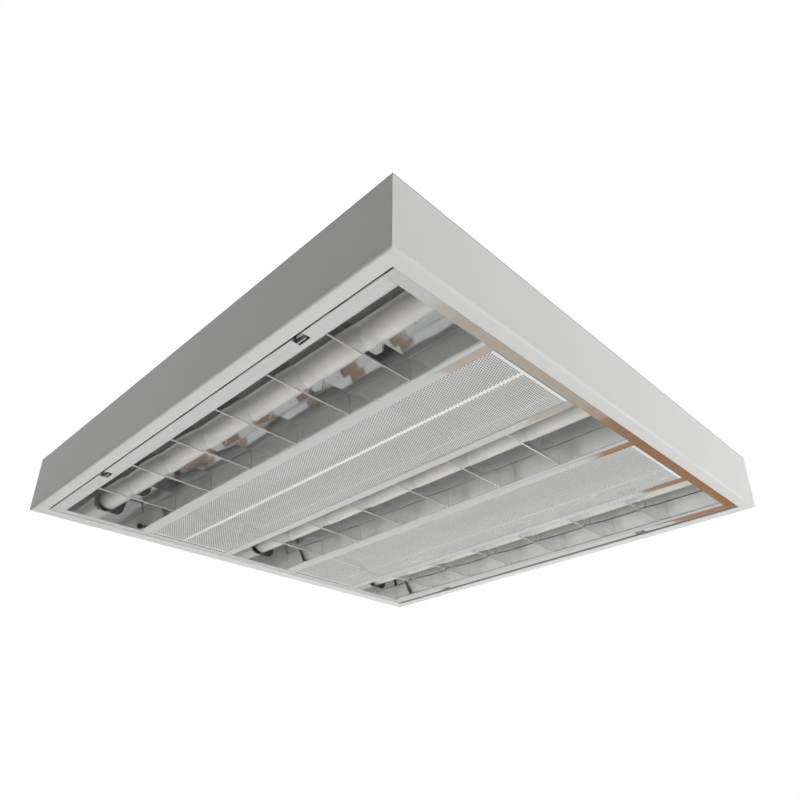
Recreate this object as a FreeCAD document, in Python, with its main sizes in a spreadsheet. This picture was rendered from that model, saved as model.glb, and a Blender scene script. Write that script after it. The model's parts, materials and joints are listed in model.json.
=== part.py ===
import FreeCAD, Part
import math
import os
import re
import Sketcher

# A square surface-mounted louvre light: a painted sheet-steel box holds three straight lamps, and a
# bright louvre with three bays and two perforated panels hangs in its open underside on two hinge
# pins. X runs along the lamps, Y across them and Z up. The origin is the middle of the ceiling face.
# Heights named "lift" and the lamp height count from the underside of the rim.

SIZES = {
    # painted box
    "lamp_room": 15, "casing_height": 68, "casing_sheet": 1, "casing_bend": 2.5,
    "rim_width": 15, "lip_height": 7, "lip_bend": 1.6,
    "corner_leg": 30, "corner_drop": 40, "corner_sheet": 1.5,
    "screw_radius": 2, "screw_head_radius": 3.4, "screw_length": 7, "screw_fit": 0.05,
    # fixing slots and cable entry in the back plate
    "slots_along": 450, "slots_across": 230, "slot_radius": 2.75, "slot_length": 14,
    "cable_place": 170, "cable_hole_radius": 10, "cable_bore_radius": 4.5,
    "grommet_flange_radius": 13, "grommet_flange": 3, "grommet_neck_radius": 7, "grommet_neck": 5,
    # lamps
    "lamp_length": 590, "lamp_height": 32, "tube_radius": 13, "tube_wall": 0.8, "shoulder": 2.5,
    "neck_radius": 12.2, "cap_length": 8, "cap_radius": 12.9, "cap_wall": 0.6, "cap_fit": 0.1,
    "cap_end": 1.2, "contact_radius": 1.175, "contact_spread": 12.7, "contact_length": 7.1,
    # lampholders, their rotors and rails
    "holder_gap": 0.3, "holder_depth": 13.2, "holder_width": 28, "recess_depth": 8.2,
    "entry_width": 5.2, "entry_depth": 7.8, "foot_depth": 5.6, "foot_width": 18, "foot_fit": 0.2,
    "foot_hook": 2, "rotor_radius": 10.45, "rotor_fit": 0.05, "rotor_setback": 0.2,
    "rotor_back_gap": 0.3, "rotor_slot_width": 17.2, "rotor_slot_height": 2.9,
    "rotor_slot_depth": 7.2,
    "rail_inset": 24, "rail_sheet": 1, "rail_rise": 20, "rail_flange": 12, "rail_end_gap": 4,
    "rail_wall_gap": 1,
    # reflectors above the lamps
    "roof_tab_half": 20, "roof_sheet": 0.6, "roof_ridge": 3.5, "roof_ridge_half": 12,
    "roof_lap": 4, "roof_lift": 1, "roof_end_gap": 2.4,
    # louvre
    "louvre_lift": 2, "louvre_sheet": 0.6, "louvre_depth": 24, "louvre_fit": 0.2,
    "edge_gap": 2.5, "end_gap": 0.6,
    "plate_sheet": 0.8, "plate_height": 36, "plate_inset": 2.5, "end_strip": 11,
    "lamp_slot_top": 42, "lamp_slot_width": 36, "lamp_slot_floor": 12, "lamp_slot_chamfer": 5,
    "knock_radius": 3.6, "knock_lift": 5.5, "knock_gap": 0.2,
    "bay_exit": 93.6, "curve_radius": 120, "strip_bend": 3.2, "inner_strip": 13.7,
    "outer_strip": 16.2, "notch_length": 14, "notch_depth": 9,
    "panel_lap": 7.5, "panel_sheet": 0.6, "panel_end_gap": 1.2,
    "blade_count": 6, "end_cell_extra": 1.3, "blade_lift": 1.5, "blade_top": 2.4,
    "blade_edge": 1.6, "blade_sheet": 0.5, "blade_curve": 400, "blade_notch": 26.4,
    "blade_notch_floor": 8, "blade_notch_chamfer": 8,
    # hinge at the rear strip
    "hinge_left": 180, "hinge_right": 167, "hinge_inset": 20.5, "hinge_pin_radius": 1.5,
    "hinge_pin_length": 30, "hinge_fit": 0.05, "hinge_eye_radius": 2.8, "hinge_ear": 3,
    "hinge_foot": 20, "hinge_foot_sheet": 1.2, "hinge_arm_lift": 8.5, "hinge_arm": 4.5,
    # finger catches at the front strip
    "catch_left": 157, "catch_right": 184, "catch_inset": 23, "catch_lift": 8,
    "catch_width": 11, "catch_hub_radius": 2.4, "catch_tab": 1.4, "catch_tab_drop": 7,
    "catch_nose": 1.4, "catch_reach_gap": 0.3, "catch_pin_radius": 1, "catch_fit": 0.05,
    "ear_sheet": 1, "ear_gap": 0.2, "ear_width": 7, "ear_height": 8.4, "ear_fit": 0.02,
    # control gear
    "ballast_width": 40, "ballast_height": 28, "twin_length": 230, "single_length": 150,
    "twin_place": 0, "single_place": -70, "ballast_bend": 2,
    "ballast_foot": 14, "ballast_foot_width": 30, "ballast_foot_sheet": 1.5,
    "stud_radius": 2, "stud_length": 7, "stud_fit": 0.15, "nut_radius": 4, "nut_height": 3.2,
    "nut_fit": 0.02,
    "terminal_place": 96, "terminal_length": 50, "terminal_width": 22, "terminal_height": 17,
    "terminal_poles": 5, "terminal_pitch": 9, "terminal_row": 12, "terminal_well_radius": 2.4,
    "terminal_well": 6, "terminal_screw_radius": 2.2, "terminal_screw": 3,
    "earth_place": 136, "earth_shift": 32, "earth_length": 12,
    # how far a cutting tool reaches past what it cuts
    "past": 1,
}

ALONG_X = FreeCAD.Rotation(FreeCAD.Vector(0, 1, 0), 90)
UPRIGHT = FreeCAD.Rotation()
TURNED = FreeCAD.Rotation(FreeCAD.Vector(0, 0, 1), 180)

doc = FreeCAD.newDocument("louvre_light")
sheet = doc.addObject("Spreadsheet::Sheet", "dims")
nodes = []


def fill_sheet():
    """One row per driving dimension: its name and its value, with the name as the alias."""
    for row, (name, size) in enumerate(SIZES.items(), start=1):
        sheet.set(f"A{row}", name)
        sheet.set(f"B{row}", str(size))
        sheet.setAlias(f"B{row}", name)
    doc.recompute()


def formula(text):
    """An expression over the sheet, from text that uses the plain names."""
    def named(match):
        word = match.group(0)
        return f"dims.{word}" if word in SIZES else word
    return re.sub(r"[a-z_]+", named, str(text))


def value(text):
    return float(sheet.evalExpression(formula(text)))


def bind(thing, **formulas):
    for field, text in formulas.items():
        thing.setExpression(field, formula(text))
    return thing


def place(thing, corner, turn=UPRIGHT):
    """Put a thing at a point given by three formulas, turned as given."""
    thing.Placement = FreeCAD.Placement(FreeCAD.Vector(), turn)
    for axis, text in zip("xyz", corner):
        thing.setExpression(f"Placement.Base.{axis}", formula(text))
    return thing


def node(thing, label):
    """Mark a finished object as a sub-part that is written to its own file."""
    thing.Label = label
    nodes.append(thing)
    return thing


# ---------------------------------------------------------------- solids from primitives

def block(name, low, high):
    """A box between two corners, each three formulas."""
    made = doc.addObject("Part::Box", name)
    spans = [f"({b}) - ({a})" for a, b in zip(low, high)]
    bind(made, Length=spans[0], Width=spans[1], Height=spans[2])
    return place(made, low)


def rod(name, radius, length, start, turn=UPRIGHT):
    made = doc.addObject("Part::Cylinder", name)
    bind(made, Radius=radius, Height=length)
    return place(made, start, turn)


def cone(name, low_radius, high_radius, length, start):
    made = doc.addObject("Part::Cone", name)
    bind(made, Radius1=low_radius, Radius2=high_radius, Height=length)
    return place(made, start)


def fuse(name, parts):
    made = doc.addObject("Part::MultiFuse", name)
    made.Shapes = parts
    return made


def cut(name, base, tools):
    made = doc.addObject("Part::Cut", name)
    made.Base = base
    made.Tool = tools[0] if len(tools) == 1 else fuse(f"{name}_tools", tools)
    return made


def group(name, parts):
    """Separate solids that share one node."""
    made = doc.addObject("Part::Compound", name)
    made.Links = parts
    return made


# ---------------------------------------------------------------- solids from sketches

def origin_part(body, role):
    return next(f for f in body.Origin.OriginFeatures if f.Role == role)


def new_body(name):
    body = doc.addObject("PartDesign::Body", name)
    body.AllowCompound = True
    return body


def draw(body, name, plane, outlines, circles=(), offset="0"):
    """A sketch on one of the body's origin planes.

    An outline is a list of points, each a pair of formulas. A third member makes the edge to the
    next point an arc of that radius, which turns left, or right where the member is negative.
    A circle is two formulas for its middle and one for its radius.
    """
    sketch = body.newObject("Sketcher::SketchObject", name)
    sketch.AttachmentSupport = (origin_part(body, plane), [""])
    sketch.MapMode = "FlatFace"
    sketch.setExpression("AttachmentOffset.Base.z", formula(offset))
    for points in outlines:
        draw_outline(sketch, points)
    for x, y, radius in circles:
        middle = FreeCAD.Vector(value(x), value(y), 0)
        ring = Part.Circle(middle, FreeCAD.Vector(0, 0, 1), value(radius))
        index = sketch.addGeometry(ring, False)
        hold_point(sketch, index, 3, (x, y))
        hold_radius(sketch, index, radius)
    return sketch


def draw_outline(sketch, points):
    edges = []
    for start, end in zip(points, points[1:] + points[:1]):
        first = FreeCAD.Vector(value(start[0]), value(start[1]), 0)
        last = FreeCAD.Vector(value(end[0]), value(end[1]), 0)
        if len(start) == 3:
            edges.append(draw_arc(sketch, first, last, start[2]))
        else:
            line = sketch.addGeometry(Part.LineSegment(first, last), False)
            edges.append((line, 1, 2))
    for before, after in zip(edges, edges[1:] + edges[:1]):
        join = Sketcher.Constraint("Coincident", before[0], before[2], after[0], after[1])
        sketch.addConstraint(join)
    for (index, begins, _), point in zip(edges, points):
        hold_point(sketch, index, begins, point)


def draw_arc(sketch, first, last, radius):
    """An arc between two points; the two numbers returned with it say which end is which."""
    size = abs(value(radius))
    chord = last - first
    reach = math.sqrt(size ** 2 - chord.Length ** 2 / 4)
    left = FreeCAD.Vector(-chord.y, chord.x, 0).normalize()
    turns_left = value(radius) > 0
    middle = (first + last) / 2 + left * (reach if turns_left else -reach)
    begin, end = (first, last) if turns_left else (last, first)
    angles = [math.atan2(p.y - middle.y, p.x - middle.x) for p in (begin, end)]
    circle = Part.Circle(middle, FreeCAD.Vector(0, 0, 1), size)
    index = sketch.addGeometry(Part.ArcOfCircle(circle, *angles), False)
    hold_radius(sketch, index, f"abs({radius})")
    return (index, 1, 2) if turns_left else (index, 2, 1)


def hold_point(sketch, index, end, point):
    for kind, text in zip(("DistanceX", "DistanceY"), point):
        number = sketch.addConstraint(Sketcher.Constraint(kind, -1, 1, index, end, value(text)))
        sketch.setExpression(f"Constraints[{number}]", formula(text))


def hold_radius(sketch, index, radius):
    number = sketch.addConstraint(Sketcher.Constraint("Radius", index, value(radius)))
    sketch.setExpression(f"Constraints[{number}]", formula(radius))


def feature(body, kind, name, sketch):
    made = body.newObject(f"PartDesign::{kind}", name)
    made.Profile = sketch
    sketch.Visibility = False
    return made


def pad(body, name, sketch, length, side="One side", reverse=False):
    made = feature(body, "Pad", name, sketch)
    made.SideType = side
    made.Reversed = reverse
    bind(made, Length=length)
    return made


def pocket(body, name, sketch):
    """A cut right through, both ways from the sketch."""
    made = feature(body, "Pocket", name, sketch)
    made.SideType = "Symmetric"
    made.Type = "ThroughAll"
    doc.recompute()
    return made


def revolve(body, name, sketch):
    """A full turn about the body's X axis."""
    made = feature(body, "Revolution", name, sketch)
    made.ReferenceAxis = (origin_part(body, "X_Axis"), [""])
    made.Angle = 360
    return made


def round_edges(body, name, base, direction, bends):
    """Fillet the straight edges along a direction that pass a point of the section.

    Each bend is a pair of formulas for the point and one formula for its radius.
    """
    doc.recompute()
    across = {"x": ("y", "z"), "y": ("x", "z")}[direction]
    for count, (u, v, radius) in enumerate(bends):
        spot = (value(u), value(v))
        found = [f"Edge{i}" for i, edge in enumerate(base.Shape.Edges, start=1)
                 if all(math.dist([getattr(p.Point, a) for a in across], spot) < 0.01
                        for p in edge.Vertexes)]
        made = body.newObject("PartDesign::Fillet", f"{name}_{count}")
        made.Base = (base, found)
        bind(made, Radius=radius)
        doc.recompute()
        base = made
    return base


def repeat_along_x(body, name, originals, pitch, count):
    made = body.newObject("PartDesign::LinearPattern", name)
    made.Originals = originals
    made.Direction = (origin_part(body, "X_Axis"), [""])
    bind(made, Length=f"{pitch} * ({count} - 1)", Occurrences=count)
    body.Tip = made
    return made


def repeat_round(body, name, originals, count):
    made = body.newObject("PartDesign::PolarPattern", name)
    made.Originals = originals
    made.Axis = (origin_part(body, "Z_Axis"), [""])
    made.Angle = 360
    made.Occurrences = count
    body.Tip = made
    return made


def mirror_across_x(body, name, originals):
    made = body.newObject("PartDesign::Mirrored", name)
    made.Originals = originals
    made.MirrorPlane = (origin_part(body, "YZ_Plane"), [""])
    body.Tip = made
    return made


# ---------------------------------------------------------------- levels and places

HALF = "(lamp_length / 2 + lamp_room)"
RIM = "-casing_height"
UNDER_BACK = "-casing_sheet"
OPENING = f"({HALF} - rim_width)"
INSIDE = f"({HALF} - casing_sheet)"
LAMP_LEVEL = f"({RIM} + lamp_height)"
RAIL_UNDER = f"({LAMP_LEVEL} + rail_rise)"
LOUVRE = f"({RIM} + louvre_lift)"
STRIP_TOP = f"({LOUVRE} + louvre_sheet)"
LOUVRE_TOP = f"({LOUVRE} + louvre_depth)"
STRIP_END = f"({OPENING} - edge_gap)"
LOUVRE_END = f"({OPENING} - end_gap - end_strip)"
LAMP_PITCH = f"({STRIP_END} - outer_strip - bay_exit / 2)"
GEAR_ROW = f"({LAMP_PITCH} / 2)"
BLADE_PITCH = f"(2 * ({LOUVRE_END} - end_cell_extra) / (blade_count + 1))"
BAYS = {"front": f"-{LAMP_PITCH}", "middle": "0", "rear": LAMP_PITCH}
ENDS = {"left": TURNED, "right": UPRIGHT}


def bay_half(height, sheet="0"):
    """Half the width of a bay at a height over its exit: an arc that starts upright there.

    With a sheet, it is the outside of a reflector of that thickness.
    """
    return f"(bay_exit / 2 - curve_radius + sqrt((curve_radius + {sheet})^2 - ({height})^2))"


THROAT_HALF = bay_half("louvre_depth")


# ---------------------------------------------------------------- painted box

def back_plate():
    """Flat ceiling plate with four fixing slots, the cable hole and countersunk screw holes."""
    whole = block("back_blank", (f"-{HALF}", f"-{HALF}", UNDER_BACK), (HALF, HALF, "0"))
    below = f"{UNDER_BACK} - past"
    depth = "casing_sheet + 2 * past"
    tools = []
    for i, (sx, sy) in enumerate([(-1, -1), (1, -1), (1, 1), (-1, 1)]):
        x, y = f"{sx} * slots_along / 2", f"{sy} * slots_across / 2"
        ends = "(slot_length / 2 - slot_radius)"
        tools.append(block(f"slot_middle_{i}", (f"{x} - {ends}", f"{y} - slot_radius", below),
                           (f"{x} + {ends}", f"{y} + slot_radius", "past")))
        for way in (-1, 1):
            tools.append(rod(f"slot_end_{i}_{way + 1}", "slot_radius", depth,
                             (f"{x} + {way} * {ends}", y, below)))
        tools.append(cone(f"countersink_{i}", "screw_radius + screw_fit",
                          "screw_head_radius + screw_fit", "casing_sheet",
                          screw_place(sx, sy, UNDER_BACK)))
    tools.append(rod("cable_hole", "cable_hole_radius", depth, ("cable_place", GEAR_ROW, below)))
    node(cut("back_plate", whole, tools), "back_plate")


def screw_place(sx, sy, level):
    """The middle of a corner bracket's tab."""
    inset = f"({INSIDE} - corner_leg / 2)"
    return (f"{sx} * {inset}", f"{sy} * {inset}", level)


def wall(label, turn):
    """One side of the box, folded in along the bottom as a rim with an upturned lip."""
    body = new_body(label)
    outer, inner = f"-{HALF}", f"-{OPENING}"
    section = draw(body, f"{label}_section", "YZ_Plane", [[
        (outer, UNDER_BACK),
        (outer, RIM),
        (inner, RIM),
        (inner, f"{RIM} + lip_height"),
        (f"{inner} - casing_sheet", f"{RIM} + lip_height"),
        (f"{inner} - casing_sheet", f"{RIM} + casing_sheet"),
        (f"{outer} + casing_sheet", f"{RIM} + casing_sheet"),
        (f"{outer} + casing_sheet", UNDER_BACK)]])
    strip = pad(body, f"{label}_fold", section, f"2 * {HALF}", "Symmetric")
    round_edges(body, f"{label}_bend", strip, "x", [
        (outer, RIM, "casing_bend"),
        (f"{outer} + casing_sheet", f"{RIM} + casing_sheet", "casing_bend - casing_sheet"),
        (inner, RIM, "lip_bend"),
        (f"{inner} - casing_sheet", f"{RIM} + casing_sheet", "lip_bend - casing_sheet")])
    reach = "(rim_width + past)"
    mitres = [[(f"{s} * {HALF}", outer),
               (f"{s} * ({HALF} - {reach})", f"{outer} + {reach}"),
               (f"{s} * {HALF}", f"{outer} + {reach}")] for s in (-1, 1)]
    pocket(body, f"{label}_mitres", draw(body, f"{label}_mitre_lines", "XY_Plane", mitres))
    place(body, ("0", "0", "0"), FreeCAD.Rotation(FreeCAD.Vector(0, 0, 1), turn))
    node(body, label)


def corner_brackets():
    """An angle in each corner of the box, welded to both walls, with a tab under the back plate."""
    body = new_body("corner_brackets")
    far, near = INSIDE, f"({INSIDE} - corner_leg)"
    thin = f"({INSIDE} - corner_sheet)"
    angle = draw(body, "corner_angle", "XY_Plane", [[
        (far, far), (near, far), (near, thin), (thin, thin), (thin, near), (far, near)]],
        offset=UNDER_BACK)
    legs = pad(body, "corner_legs", angle, "corner_drop", reverse=True)
    screw_x, screw_y, _ = screw_place(1, 1, "0")
    tab = draw(body, "corner_tab", "XY_Plane", [[
        (far, far), (near, far), (near, near), (far, near)]],
        circles=[(screw_x, screw_y, "screw_radius + screw_fit")], offset=UNDER_BACK)
    plate = pad(body, "corner_plate", tab, "corner_sheet", reverse=True)
    repeat_round(body, "corner_four", [legs, plate], 4)
    node(body, "corner_brackets")


def back_screws():
    """Countersunk screws from the ceiling side into the corner brackets."""
    screws = []
    for i, (sx, sy) in enumerate([(-1, -1), (1, -1), (1, 1), (-1, 1)]):
        head = cone(f"screw_head_{i}", "screw_radius", "screw_head_radius", "casing_sheet",
                    screw_place(sx, sy, UNDER_BACK))
        shank = rod(f"screw_shank_{i}", "screw_radius", "screw_length - casing_sheet",
                    screw_place(sx, sy, "-screw_length"))
        screws.append(fuse(f"back_screw_{i}", [head, shank]))
    node(group("back_screws", screws), "back_screws")


def cable_grommet():
    """Rubber bush in the cable hole, flush with the ceiling face."""
    x, y = "cable_place", GEAR_ROW
    under_flange = f"{UNDER_BACK} - grommet_flange"
    bottom = f"{under_flange} - grommet_neck"
    solid = fuse("grommet_solid", [
        rod("grommet_plug", "cable_hole_radius", "casing_sheet", (x, y, UNDER_BACK)),
        rod("grommet_collar", "grommet_flange_radius", "grommet_flange", (x, y, under_flange)),
        rod("grommet_tail", "grommet_neck_radius", "grommet_neck", (x, y, bottom))])
    bore = rod("grommet_bore", "cable_bore_radius",
               "casing_sheet + grommet_flange + grommet_neck + 2 * past",
               (x, y, f"{bottom} - past"))
    node(cut("cable_grommet", solid, [bore]), "cable_grommet")


# ---------------------------------------------------------------- lampholders and their rails

HOLDER_FACE = "(lamp_length / 2 + holder_gap)"
HOLDER_BACK = f"({HOLDER_FACE} + holder_depth)"
FOOT_NEAR = f"({HOLDER_FACE} + (holder_depth - foot_depth) / 2)"
FOOT_FAR = f"({FOOT_NEAR} + foot_depth)"


def holder_rail(label, turn):
    """Folded rail across one end that carries three lampholders and the roof reflectors."""
    body = new_body(label)
    web = f"({HALF} - rail_inset)"
    ledge = f"({INSIDE} - rail_wall_gap)"
    section = draw(body, f"{label}_section", "XZ_Plane", [[
        (web, UNDER_BACK),
        (f"{web} + rail_flange", UNDER_BACK),
        (f"{web} + rail_flange", f"{UNDER_BACK} - rail_sheet"),
        (f"{web} + rail_sheet", f"{UNDER_BACK} - rail_sheet"),
        (f"{web} + rail_sheet", f"{RAIL_UNDER} + rail_sheet"),
        (ledge, f"{RAIL_UNDER} + rail_sheet"),
        (ledge, RAIL_UNDER),
        (web, RAIL_UNDER)]])
    length = f"2 * ({INSIDE} - corner_leg - rail_end_gap)"
    pad(body, f"{label}_fold", section, length, "Symmetric")
    slots = [[(f"{FOOT_NEAR} - foot_fit", f"{y} - foot_width / 2 - foot_fit"),
              (f"{FOOT_FAR} + foot_fit", f"{y} - foot_width / 2 - foot_fit"),
              (f"{FOOT_FAR} + foot_fit", f"{y} + foot_width / 2 + foot_fit"),
              (f"{FOOT_NEAR} - foot_fit", f"{y} + foot_width / 2 + foot_fit")]
             for y in BAYS.values()]
    pocket(body, f"{label}_slots", draw(body, f"{label}_slot_lines", "XY_Plane", slots))
    place(body, ("0", "0", "0"), turn)
    node(body, label)


def lampholder(label, bay, turn):
    """Rotary two-pin holder that hangs by its foot from the rail, with a round recess."""
    half = "holder_width / 2"
    shell = fuse(f"{label}_shell", [
        rod(f"{label}_round", half, "holder_depth", (HOLDER_FACE, "0", LAMP_LEVEL), ALONG_X),
        block(f"{label}_block", (HOLDER_FACE, f"-{half}", LAMP_LEVEL),
              (HOLDER_BACK, half, RAIL_UNDER)),
        block(f"{label}_foot", (FOOT_NEAR, "-foot_width / 2", RAIL_UNDER),
              (FOOT_FAR, "foot_width / 2", f"{RAIL_UNDER} + rail_sheet")),
        block(f"{label}_hook", (FOOT_NEAR, "-foot_width / 2 - foot_hook",
                                f"{RAIL_UNDER} + rail_sheet"),
              (FOOT_FAR, "foot_width / 2 + foot_hook", f"{RAIL_UNDER} + rail_sheet + foot_hook"))])
    face = f"{HOLDER_FACE} - past"
    tools = [
        rod(f"{label}_recess", "rotor_radius + rotor_fit", "recess_depth + past",
            (face, "0", LAMP_LEVEL), ALONG_X),
        block(f"{label}_entry", (face, "-entry_width / 2", f"{LAMP_LEVEL} - {half} - past"),
              (f"{HOLDER_FACE} + entry_depth", "entry_width / 2", LAMP_LEVEL))]
    holder = cut(label, shell, tools)
    place(holder, ("0", bay, "0"), turn)
    node(holder, label)


def rotors(bay_name, bay):
    """The two slotted discs that turn with a lamp in its holders."""
    made = []
    near = f"({HOLDER_FACE} + rotor_setback)"
    far = f"({HOLDER_FACE} + recess_depth - rotor_back_gap)"
    for end, turn in ENDS.items():
        name = f"rotor_{bay_name}_{end}"
        disc = rod(f"{name}_disc", "rotor_radius", f"{far} - {near}", (near, "0", LAMP_LEVEL),
                   ALONG_X)
        slot = block(f"{name}_slot", (f"{near} - past", "-rotor_slot_width / 2",
                                      f"{LAMP_LEVEL} - rotor_slot_height / 2"),
                     (f"{near} + rotor_slot_depth", "rotor_slot_width / 2",
                      f"{LAMP_LEVEL} + rotor_slot_height / 2"))
        made.append(place(cut(name, disc, [slot]), ("0", bay, "0"), turn))
    label = f"lamp_{bay_name}_rotors"
    node(group(label, made), label)


# ---------------------------------------------------------------- lamps

LAMP_END = "lamp_length / 2"
CAP_MOUTH = f"({LAMP_END} - cap_length)"
GLASS_END = f"({LAMP_END} - cap_end - cap_fit)"
NECK_START = f"({CAP_MOUTH} - cap_fit)"


def lamp_tube(bay_name, bay):
    """Hollow glass tube, drawn in to a narrower neck inside each cap."""
    label = f"lamp_{bay_name}_tube"
    body = new_body(label)
    right = [(GLASS_END, "neck_radius"),
             (NECK_START, "neck_radius"),
             (f"({NECK_START} - shoulder)", "tube_radius")]
    outside = [(f"-{x}", r) for x, r in right] + right[::-1]
    inside = [(x, f"{r} - tube_wall") for x, r in outside[::-1]]
    section = draw(body, f"{label}_section", "XZ_Plane", [outside + inside])
    revolve(body, f"{label}_glass", section)
    place(body, ("0", bay, LAMP_LEVEL))
    node(body, label)


def lamp_caps(bay_name, bay):
    """A metal cap on each end of the glass."""
    label = f"lamp_{bay_name}_caps"
    body = new_body(label)
    bore = "cap_radius - cap_wall"
    section = draw(body, f"{label}_section", "XZ_Plane", [[
        (CAP_MOUTH, bore),
        (CAP_MOUTH, "cap_radius"),
        (LAMP_END, "cap_radius"),
        (LAMP_END, "0"),
        (f"{LAMP_END} - cap_end", "0"),
        (f"{LAMP_END} - cap_end", bore)]])
    cup = revolve(body, f"{label}_cup", section)
    mirror_across_x(body, f"{label}_pair", [cup])
    place(body, ("0", bay, LAMP_LEVEL))
    node(body, label)


def lamp_pins(bay_name, bay):
    """Two contact pins on each cap, level with each other while the lamp is locked."""
    made = []
    for end, start in (("left", f"-{LAMP_END} - contact_length"), ("right", LAMP_END)):
        for side in (-1, 1):
            made.append(rod(f"pin_{bay_name}_{end}_{side + 1}", "contact_radius", "contact_length",
                            (start, f"{bay} + {side} * contact_spread / 2", LAMP_LEVEL), ALONG_X))
    label = f"lamp_{bay_name}_pins"
    node(group(label, made), label)


def roof_reflector(bay_name, bay):
    """Bright trough over a lamp, held under both rails by a tab at each end.

    It is flat along the top, with a shallow ridge, and carries on the curve of the louvre below.
    """
    label = f"roof_reflector_{bay_name}"
    body = new_body(label)
    low, top = f"({LOUVRE_TOP} + roof_lift)", RAIL_UNDER
    under = f"({top} - roof_sheet)"
    ridge = [("roof_ridge_half", "0"), ("0", "roof_ridge"), ("-roof_ridge_half", "0")]
    outer_low, outer_top = (bay_half(f"{z} - {LOUVRE}", "roof_sheet") for z in (low, top))
    inner_low, inner_top = (bay_half(f"{z} - {LOUVRE}") for z in (low, under))
    above = [(outer_low, low, "(curve_radius + roof_sheet)"), (outer_top, top)]
    above += [(y, f"{top} - {drop}") for y, drop in ridge]
    above += [(f"-{outer_top}", top, "(curve_radius + roof_sheet)"), (f"-{outer_low}", low)]
    below = [(f"-{inner_low}", low, "-curve_radius"), (f"-{inner_top}", under)]
    below += [(y, f"{under} - {drop}") for y, drop in ridge[::-1]]
    below += [(inner_top, under, "-curve_radius"), (inner_low, low)]
    trough = draw(body, f"{label}_section", "YZ_Plane", [above + below])
    pad(body, f"{label}_fold", trough, f"2 * ({LOUVRE_END} - roof_end_gap)", "Symmetric")
    flat = [("roof_tab_half", top)] + [(y, f"{top} - {drop}") for y, drop in ridge]
    flat += [("-roof_tab_half", top), ("-roof_tab_half", under)]
    flat += [(y, f"{under} - {drop}") for y, drop in ridge[::-1]] + [("roof_tab_half", under)]
    tabs = draw(body, f"{label}_tab_section", "YZ_Plane", [flat])
    pad(body, f"{label}_tabs", tabs, f"2 * ({HALF} - rail_inset + roof_lap)", "Symmetric")
    place(body, ("0", bay, "0"))
    node(body, label)


# ---------------------------------------------------------------- louvre

def end_plate(label, turn):
    """Upright plate across one end, open-topped where the lamps pass, with a turned-out strip."""
    body = new_body(label)
    top, floor = f"{LOUVRE} + plate_height", f"({LOUVRE} + lamp_slot_floor)"
    side = f"({STRIP_END} - plate_inset)"
    outline = [(f"-{side}", LOUVRE), (side, LOUVRE), (side, top)]
    for bay in reversed(BAYS.values()):
        narrow, wide = "lamp_slot_width / 2", "lamp_slot_top / 2"
        outline += [(f"{bay} + {wide}", top),
                    (f"{bay} + {narrow}", f"{floor} + lamp_slot_chamfer"),
                    (f"{bay} + {narrow} - lamp_slot_chamfer", floor),
                    (f"{bay} - {narrow} + lamp_slot_chamfer", floor),
                    (f"{bay} - {narrow}", f"{floor} + lamp_slot_chamfer"),
                    (f"{bay} - {wide}", top)]
    outline.append((f"-{side}", top))
    knock = (f"{LAMP_PITCH} - bay_exit / 2 + knock_radius + knock_gap",
             f"{LOUVRE} + knock_lift", "knock_radius")
    sketch = draw(body, f"{label}_outline", "YZ_Plane", [outline], [knock], LOUVRE_END)
    pad(body, f"{label}_plate", sketch, "plate_sheet")
    strip = draw(body, f"{label}_strip_outline", "XY_Plane", [[
        (LOUVRE_END, f"-{STRIP_END}"),
        (f"{LOUVRE_END} + end_strip", f"-{STRIP_END}"),
        (f"{LOUVRE_END} + end_strip", STRIP_END),
        (LOUVRE_END, STRIP_END)]], offset=LOUVRE)
    pad(body, f"{label}_strip", strip, "plate_sheet")
    place(body, ("0", "0", "0"), turn)
    node(body, label)


def side_reflector(label, bay, side, strip, notches=()):
    """Curved bright sheet down one side of a bay, with a flat strip along its lower edge.

    side is 1 where the strip points to +Y and -1 where it points to -Y.
    """
    body = new_body(label)
    exit_half = "bay_exit / 2"
    corners = [
        (exit_half, LOUVRE),
        (f"{exit_half} + {strip}", LOUVRE),
        (f"{exit_half} + {strip}", STRIP_TOP),
        (f"{exit_half} + louvre_sheet", STRIP_TOP, "(curve_radius + louvre_sheet)"),
        (bay_half("louvre_depth", "louvre_sheet"), LOUVRE_TOP),
        (THROAT_HALF, LOUVRE_TOP, "-curve_radius")]
    outline = [(f"{side} * ({p[0]})", p[1], *[f"{side} * {r}" for r in p[2:]]) for p in corners]
    section = draw(body, f"{label}_section", "YZ_Plane", [outline])
    fold = pad(body, f"{label}_fold", section, f"2 * ({LOUVRE_END} - louvre_fit)", "Symmetric")
    round_edges(body, f"{label}_bend", fold, "x", [
        (f"{side} * {exit_half}", LOUVRE, "strip_bend"),
        (f"{side} * ({exit_half} + louvre_sheet)", STRIP_TOP, "strip_bend - louvre_sheet")])
    if notches:
        outer = f"({exit_half} + {strip})"
        cuts = [[(f"{x} - notch_length / 2", f"{side} * ({outer} - notch_depth)"),
                 (f"{x} + notch_length / 2", f"{side} * ({outer} - notch_depth)"),
                 (f"{x} + notch_length / 2", f"{side} * ({outer} + past)"),
                 (f"{x} - notch_length / 2", f"{side} * ({outer} + past)")] for x in notches]
        pocket(body, f"{label}_notches", draw(body, f"{label}_notch_lines", "XY_Plane", cuts))
    place(body, ("0", bay, "0"))
    node(body, label)


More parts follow.
